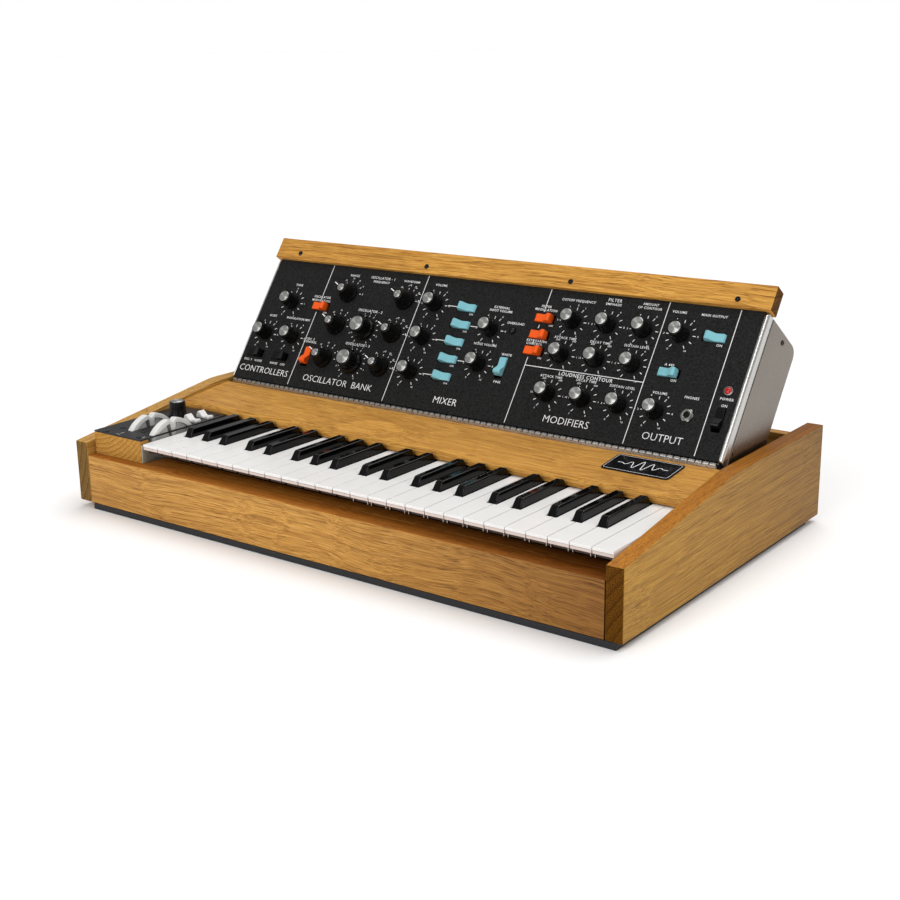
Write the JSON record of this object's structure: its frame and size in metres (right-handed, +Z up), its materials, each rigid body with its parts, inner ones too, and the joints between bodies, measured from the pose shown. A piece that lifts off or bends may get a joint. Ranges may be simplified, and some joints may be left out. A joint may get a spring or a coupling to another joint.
{
  "type": "analogue synthesizer",
  "caption": "Vintage monophonic analogue synthesizer: oak cabinet with keys, pitch and modulation wheels, and a hinged black control panel that stands tilted up behind them",
  "frame": {"origin": "Middle of the cabinet's footprint, on the plane that the base plate stands on", "axes": "+X to the player's right, +Y to the rear, +Z up"},
  "size_m": [0.728, 0.4308, 0.2744],
  "materials": {
    "oak": "oiled honey oak with a soft sheen",
    "black_metal": "satin black paint",
    "panel_black": "fine crinkle black paint with white print",
    "housing_aluminium": "satin warm silver paint",
    "hinge_steel": "plated steel",
    "key_white": "polished moulding",
    "key_black": "polished moulding",
    "knob_black": "satin moulding with a turned metal cap",
    "rocker_white": "satin moulding",
    "rocker_orange": "satin moulding",
    "rocker_blue": "satin moulding",
    "circuit_green": "solder resist on glass laminate"
  },
  "bodies": {
    "cabinet": {"base_plate": "black_metal", "left_cheek": "oak", "right_cheek": "oak", "front_rail": "oak", "key_deck": "oak", "rear_board": "oak", "wheel_plate": "black_metal", "keyboard_frame": "hinge_steel", "hinge_cabinet_leaf": "hinge_steel"},
    "panel": {"panel_face": "panel_black", "panel_housing": "housing_aluminium", "panel_top_rail": "oak", "hinge_panel_leaf": "hinge_steel", "circuit_board": "circuit_green"},
    "prop": {"prop_stand": "black_metal"},
    "low_f": {"key_low_f": "key_white"},
    "low_f_sharp": {"key_low_f_sharp": "key_black"},
    "white_key_set": {"white_keys": "key_white"},
    "black_key_set": {"black_keys": "key_black"},
    "pitch": {"pitch_wheel": "rocker_white"},
    "modulation": {"mod_wheel": "rocker_white"},
    "rate": {"rate_knob": "knob_black"},
    "side_switches": {"side_rockers": "rocker_white"},
    "knob_osc1_range_body": {"knob_osc1_range": "knob_black"},
    "knob_osc1_waveform_body": {"knob_osc1_waveform": "knob_black"},
    "knob_osc2_range_body": {"knob_osc2_range": "knob_black"},
    "knob_osc2_waveform_body": {"knob_osc2_waveform": "knob_black"},
    "knob_osc3_range_body": {"knob_osc3_range": "knob_black"},
    "knob_osc3_waveform_body": {"knob_osc3_waveform": "knob_black"},
    "knob_osc2_frequency_body": {"knob_osc2_frequency": "knob_black"},
    "knob_osc3_frequency_body": {"knob_osc3_frequency": "knob_black"},
    "knob_tune_body": {"knob_tune": "knob_black"},
    "knob_glide_body": {"knob_glide": "knob_black"},
    "knob_mod_mix_body": {"knob_mod_mix": "knob_black"},
    "knob_osc1_volume_body": {"knob_osc1_volume": "knob_black"},
    "knob_osc2_volume_body": {"knob_osc2_volume": "knob_black"},
    "knob_osc3_volume_body": {"knob_osc3_volume": "knob_black"},
    "knob_external_volume_body": {"knob_external_volume": "knob_black"},
    "knob_noise_volume_body": {"knob_noise_volume": "knob_black"},
    "knob_cutoff_body": {"knob_cutoff": "knob_black"},
    "knob_emphasis_body": {"knob_emphasis": "knob_black"},
    "knob_contour_amount_body": {"knob_contour_amount": "knob_black"},
    "knob_filter_attack_body": {"knob_filter_attack": "knob_black"},
    "knob_filter_decay_body": {"knob_filter_decay": "knob_black"},
    "knob_filter_sustain_body": {"knob_filter_sustain": "knob_black"},
    "knob_loudness_attack_body": {"knob_loudness_attack": "knob_black"},
    "knob_loudness_decay_body": {"knob_loudness_decay": "knob_black"},
    "knob_loudness_sustain_body": {"knob_loudness_sustain": "knob_black"},
    "knob_main_volume_body": {"knob_main_volume": "knob_black"},
    "knob_phones_volume_body": {"knob_phones_volume": "knob_black"},
    "rocker_osc_modulation_body": {"rocker_osc_modulation": "rocker_orange"},
    "rocker_mod_source_left_body": {"rocker_mod_source_left": "knob_black"},
    "rocker_mod_source_right_body": {"rocker_mod_source_right": "knob_black"},
    "rockers_mixer_body": {"rockers_mixer": "rocker_blue"},
    "rockers_filter_body": {"rockers_filter": "rocker_orange"},
    "rocker_main_output_body": {"rocker_main_output": "rocker_blue"},
    "rocker_tuning_tone_body": {"rocker_tuning_tone": "rocker_blue"},
    "rocker_osc3_control_body": {"rocker_osc3_control": "rocker_orange"},
    "rocker_noise_type_body": {"rocker_noise_type": "rocker_blue"},
    "rocker_power_body": {"rocker_power": "knob_black"}
  },
  "joints": [
    {"name": "panel_tilt", "type": "hinge", "parent": "cabinet", "child": "panel", "pos_m": [0, 0.0162, 0.1096], "axis": [1, 0, 0], "range_deg": [-54.2, 30]},
    {"name": "prop_turn", "type": "hinge", "parent": "cabinet", "child": "prop", "pos_m": [0, 0.0456, 0.0115], "axis": [1, 0, 0], "range_deg": [-50, 28]},
    {"name": "low_f_turn", "type": "hinge", "parent": "cabinet", "child": "low_f", "pos_m": [0, -0.0064, 0.078], "axis": [1, 0, 0], "range_deg": [0, 3], "stiffness_Nm_per_rad": 0.6, "springref_deg": -10},
    {"name": "low_f_sharp_turn", "type": "hinge", "parent": "cabinet", "child": "low_f_sharp", "pos_m": [0, -0.0064, 0.078], "axis": [1, 0, 0], "range_deg": [0, 3], "stiffness_Nm_per_rad": 0.6, "springref_deg": -10},
    {"name": "white_key_set_turn", "type": "hinge", "parent": "cabinet", "child": "white_key_set", "pos_m": [0, -0.0064, 0.078], "axis": [1, 0, 0], "range_deg": [0, 3], "stiffness_Nm_per_rad": 10, "springref_deg": -10},
    {"name": "black_key_set_turn", "type": "hinge", "parent": "cabinet", "child": "black_key_set", "pos_m": [0, -0.0064, 0.078], "axis": [1, 0, 0], "range_deg": [0, 3], "stiffness_Nm_per_rad": 5, "springref_deg": -10},
    {"name": "pitch_turn", "type": "hinge", "parent": "cabinet", "child": "pitch", "pos_m": [-0.3085, -0.1509, 0.0674], "axis": [1, 0, 0], "range_deg": [-30, 30], "stiffness_Nm_per_rad": 0.05},
    {"name": "modulation_turn", "type": "hinge", "parent": "cabinet", "child": "modulation", "pos_m": [-0.2729, -0.1509, 0.0674], "axis": [1, 0, 0], "range_deg": [-32, 32]},
    {"name": "rate_turn", "type": "hinge", "parent": "cabinet", "child": "rate", "pos_m": [-0.3078, -0.107, 0.0914], "axis": [0, 0, 1], "range_deg": [-150, 150]},
    {"name": "side_switches_turn", "type": "hinge", "parent": "cabinet", "child": "side_switches", "pos_m": [-0.282, -0.0994, 0.0884], "axis": [0, 1, 0], "range_deg": [-36, 0]},
    {"name": "knob_osc1_range_turn", "type": "hinge", "parent": "panel", "child": "knob_osc1_range_body", "pos_m": [-0.2052, 0.09241, 0.21918], "axis": [0, -0.8111, 0.585], "range_deg": [-150, 0]},
    {"name": "knob_osc1_waveform_turn", "type": "hinge", "parent": "panel", "child": "knob_osc1_waveform_body", "pos_m": [-0.117, 0.09241, 0.21918], "axis": [0, -0.8111, 0.585], "range_deg": [-150, 0]},
    {"name": "knob_osc2_range_turn", "type": "hinge", "parent": "panel", "child": "knob_osc2_range_body", "pos_m": [-0.2052, 0.06667, 0.1835], "axis": [0, -0.8111, 0.585], "range_deg": [-150, 0]},
    {"name": "knob_osc2_waveform_turn", "type": "hinge", "parent": "panel", "child": "knob_osc2_waveform_body", "pos_m": [-0.117, 0.06667, 0.1835], "axis": [0, -0.8111, 0.585], "range_deg": [-150, 0]},
    {"name": "knob_osc3_range_turn", "type": "hinge", "parent": "panel", "child": "knob_osc3_range_body", "pos_m": [-0.2052, 0.0407, 0.14749], "axis": [0, -0.8111, 0.585], "range_deg": [-150, 0]},
    {"name": "knob_osc3_waveform_turn", "type": "hinge", "parent": "panel", "child": "knob_osc3_waveform_body", "pos_m": [-0.117, 0.0407, 0.14749], "axis": [0, -0.8111, 0.585], "range_deg": [-150, 0]},
    {"name": "knob_osc2_frequency_turn", "type": "hinge", "parent": "panel", "child": "knob_osc2_frequency_body", "pos_m": [-0.1603, 0.06667, 0.1835], "axis": [0, -0.8111, 0.585], "range_deg": [-150, 150]},
    {"name": "knob_osc3_frequency_turn", "type": "hinge", "parent": "panel", "child": "knob_osc3_frequency_body", "pos_m": [-0.1603, 0.0407, 0.14749], "axis": [0, -0.8111, 0.585], "range_deg": [-150, 150]},
    {"name": "knob_tune_turn", "type": "hinge", "parent": "panel", "child": "knob_tune_body", "pos_m": [-0.289, 0.08001, 0.20199], "axis": [0, -0.8111, 0.585], "range_deg": [-150, 150]},
    {"name": "knob_glide_turn", "type": "hinge", "parent": "panel", "child": "knob_glide_body", "pos_m": [-0.312, 0.05316, 0.16476], "axis": [0, -0.8111, 0.585], "range_deg": [-150, 150]},
    {"name": "knob_mod_mix_turn", "type": "hinge", "parent": "panel", "child": "knob_mod_mix_body", "pos_m": [-0.2669, 0.05334, 0.16501], "axis": [0, -0.8111, 0.585], "range_deg": [-150, 150]},
    {"name": "knob_osc1_volume_turn", "type": "hinge", "parent": "panel", "child": "knob_osc1_volume_body", "pos_m": [-0.0715, 0.09241, 0.21918], "axis": [0, -0.8111, 0.585], "range_deg": [-150, 150]},
    {"name": "knob_osc2_volume_turn", "type": "hinge", "parent": "panel", "child": "knob_osc2_volume_body", "pos_m": [-0.0715, 0.06667, 0.1835], "axis": [0, -0.8111, 0.585], "range_deg": [-150, 150]},
    {"name": "knob_osc3_volume_turn", "type": "hinge", "parent": "panel", "child": "knob_osc3_volume_body", "pos_m": [-0.0715, 0.0407, 0.14749], "axis": [0, -0.8111, 0.585], "range_deg": [-150, 150]},
    {"name": "knob_external_volume_turn", "type": "hinge", "parent": "panel", "child": "knob_external_volume_body", "pos_m": [0.017, 0.07937, 0.2011], "axis": [0, -0.8111, 0.585], "range_deg": [-150, 150]},
    {"name": "knob_noise_volume_turn", "type": "hinge", "parent": "panel", "child": "knob_noise_volume_body", "pos_m": [0.017, 0.05363, 0.16541], "axis": [0, -0.8111, 0.585], "range_deg": [-150, 150]},
    {"name": "knob_cutoff_turn", "type": "hinge", "parent": "panel", "child": "knob_cutoff_body", "pos_m": [0.1186, 0.09241, 0.21918], "axis": [0, -0.8111, 0.585], "range_deg": [0, 300]},
    {"name": "knob_emphasis_turn", "type": "hinge", "parent": "panel", "child": "knob_emphasis_body", "pos_m": [0.163, 0.09241, 0.21918], "axis": [0, -0.8111, 0.585], "range_deg": [-300, 0]},
    {"name": "knob_contour_amount_turn", "type": "hinge", "parent": "panel", "child": "knob_contour_amount_body", "pos_m": [0.2072, 0.09241, 0.21918], "axis": [0, -0.8111, 0.585], "range_deg": [-300, 0]},
    {"name": "knob_filter_attack_turn", "type": "hinge", "parent": "panel", "child": "knob_filter_attack_body", "pos_m": [0.1186, 0.06825, 0.18569], "axis": [0, -0.8111, 0.585], "range_deg": [-300, 0]},
    {"name": "knob_filter_decay_turn", "type": "hinge", "parent": "panel", "child": "knob_filter_decay_body", "pos_m": [0.163, 0.06825, 0.18569], "axis": [0, -0.8111, 0.585], "range_deg": [-300, 0]},
    {"name": "knob_filter_sustain_turn", "type": "hinge", "parent": "panel", "child": "knob_filter_sustain_body", "pos_m": [0.2072, 0.06825, 0.18569], "axis": [0, -0.8111, 0.585], "range_deg": [0, 300]},
    {"name": "knob_loudness_attack_turn", "type": "hinge", "parent": "panel", "child": "knob_loudness_attack_body", "pos_m": [0.1186, 0.0407, 0.14749], "axis": [0, -0.8111, 0.585], "range_deg": [-300, 0]},
    {"name": "knob_loudness_decay_turn", "type": "hinge", "parent": "panel", "child": "knob_loudness_decay_body", "pos_m": [0.163, 0.0407, 0.14749], "axis": [0, -0.8111, 0.585], "range_deg": [-300, 0]},
    {"name": "knob_loudness_sustain_turn", "type": "hinge", "parent": "panel", "child": "knob_loudness_sustain_body", "pos_m": [0.2072, 0.0407, 0.14749], "axis": [0, -0.8111, 0.585], "range_deg": [0, 300]},
    {"name": "knob_main_volume_turn", "type": "hinge", "parent": "panel", "child": "knob_main_volume_body", "pos_m": [0.2512, 0.09241, 0.21918], "axis": [0, -0.8111, 0.585], "range_deg": [-150, 150]},
    {"name": "knob_phones_volume_turn", "type": "hinge", "parent": "panel", "child": "knob_phones_volume_body", "pos_m": [0.2512, 0.0407, 0.14749], "axis": [0, -0.8111, 0.585], "range_deg": [-150, 150]},
    {"name": "rocker_osc_modulation_turn", "type": "hinge", "parent": "panel", "child": "rocker_osc_modulation_body", "pos_m": [-0.2415, 0.08227, 0.19999], "axis": [0, 0.585, 0.8111], "range_deg": [0, 36]},
    {"name": "rocker_mod_source_left_turn", "type": "hinge", "parent": "panel", "child": "rocker_mod_source_left_body", "pos_m": [-0.3155, 0.03939, 0.14054], "axis": [0, 0.585, 0.8111], "range_deg": [0, 36]},
    {"name": "rocker_mod_source_right_turn", "type": "hinge", "parent": "panel", "child": "rocker_mod_source_right_body", "pos_m": [-0.2745, 0.03939, 0.14054], "axis": [0, 0.585, 0.8111], "range_deg": [0, 36]},
    {"name": "rockers_mixer_turn", "type": "hinge", "parent": "panel", "child": "rockers_mixer_body", "pos_m": [-0.0262, 0.06952, 0.18231], "axis": [0, 0.585, 0.8111], "range_deg": [-36, 0]},
    {"name": "rockers_filter_turn", "type": "hinge", "parent": "panel", "child": "rockers_filter_body", "pos_m": [0.0822, 0.08268, 0.20056], "axis": [0, 0.585, 0.8111], "range_deg": [0, 36]},
    {"name": "rocker_main_output_turn", "type": "hinge", "parent": "panel", "child": "rocker_main_output_body", "pos_m": [0.2895, 0.09566, 0.21856], "axis": [0, 0.585, 0.8111], "range_deg": [-36, 0]},
    {"name": "rocker_tuning_tone_turn", "type": "hinge", "parent": "panel", "child": "rocker_tuning_tone_body", "pos_m": [0.252, 0.06911, 0.18174], "axis": [0, 0.585, 0.8111], "range_deg": [0, 36]},
    {"name": "rocker_osc3_control_turn", "type": "hinge", "parent": "panel", "child": "rocker_osc3_control_body", "pos_m": [-0.2325, 0.0429, 0.14541], "axis": [1, 0, 0], "range_deg": [0, 36]},
    {"name": "rocker_noise_type_turn", "type": "hinge", "parent": "panel", "child": "rocker_noise_type_body", "pos_m": [0.0487, 0.05635, 0.16406], "axis": [1, 0, 0], "range_deg": [0, 36]},
    {"name": "rocker_power_turn", "type": "hinge", "parent": "panel", "child": "rocker_power_body", "pos_m": [0.323, 0.04378, 0.14662], "axis": [1, 0, 0], "range_deg": [0, 36]}
  ],
  "couplings": [
    {"joint": "prop_turn", "follows": "panel_tilt", "ratio": 0.919}
  ]
}
